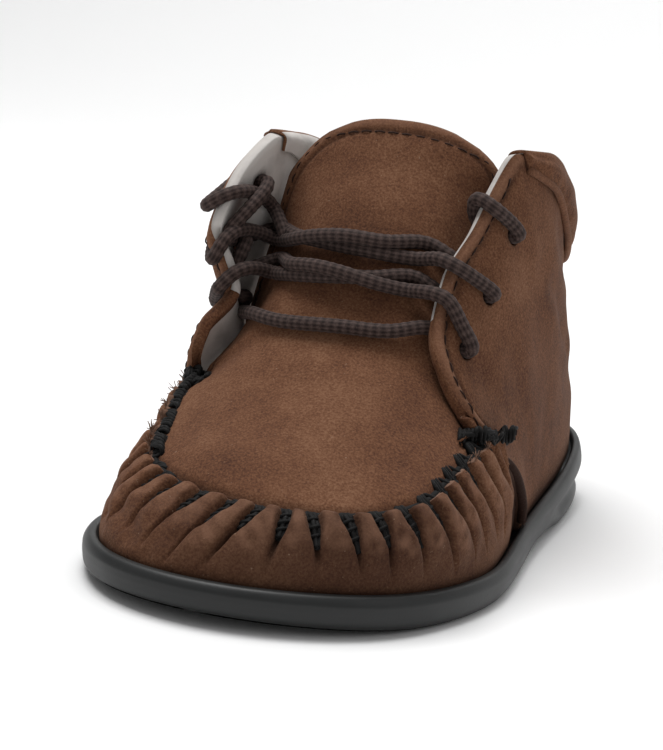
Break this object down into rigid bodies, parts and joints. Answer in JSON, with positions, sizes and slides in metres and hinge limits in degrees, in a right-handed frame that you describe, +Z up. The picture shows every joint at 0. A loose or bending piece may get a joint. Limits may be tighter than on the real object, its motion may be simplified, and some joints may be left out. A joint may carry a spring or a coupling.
{
  "type": "moccasin ankle boot",
  "caption": "Small child's left lace-up ankle boot in nubuck with a gathered moccasin toe, apron running into the tongue, padded collar and low dark rubber cup sole.",
  "frame": {"origin": "middle of the bounding box, on the floor the boot stands on", "axes": "+Z up, toe toward -Y, heel toward +Y, outer (lateral) side toward +X"},
  "size_m": [0.0714, 0.1498, 0.0782],
  "materials": {
    "rubber": "moulded, soft sheen, near-black",
    "nubuck": "brushed nubuck, mottled mid brown",
    "lining": "matte pale grey lining",
    "cord": "round braided lace, very dark brown"
  },
  "bodies": {
    "root": {"outsole": "rubber", "insole": "lining", "upper": "nubuck", "apron_tongue": "nubuck", "collar": "nubuck", "lace_bar": "cord", "lace_crossings": "cord"}
  },
  "joints": []
}
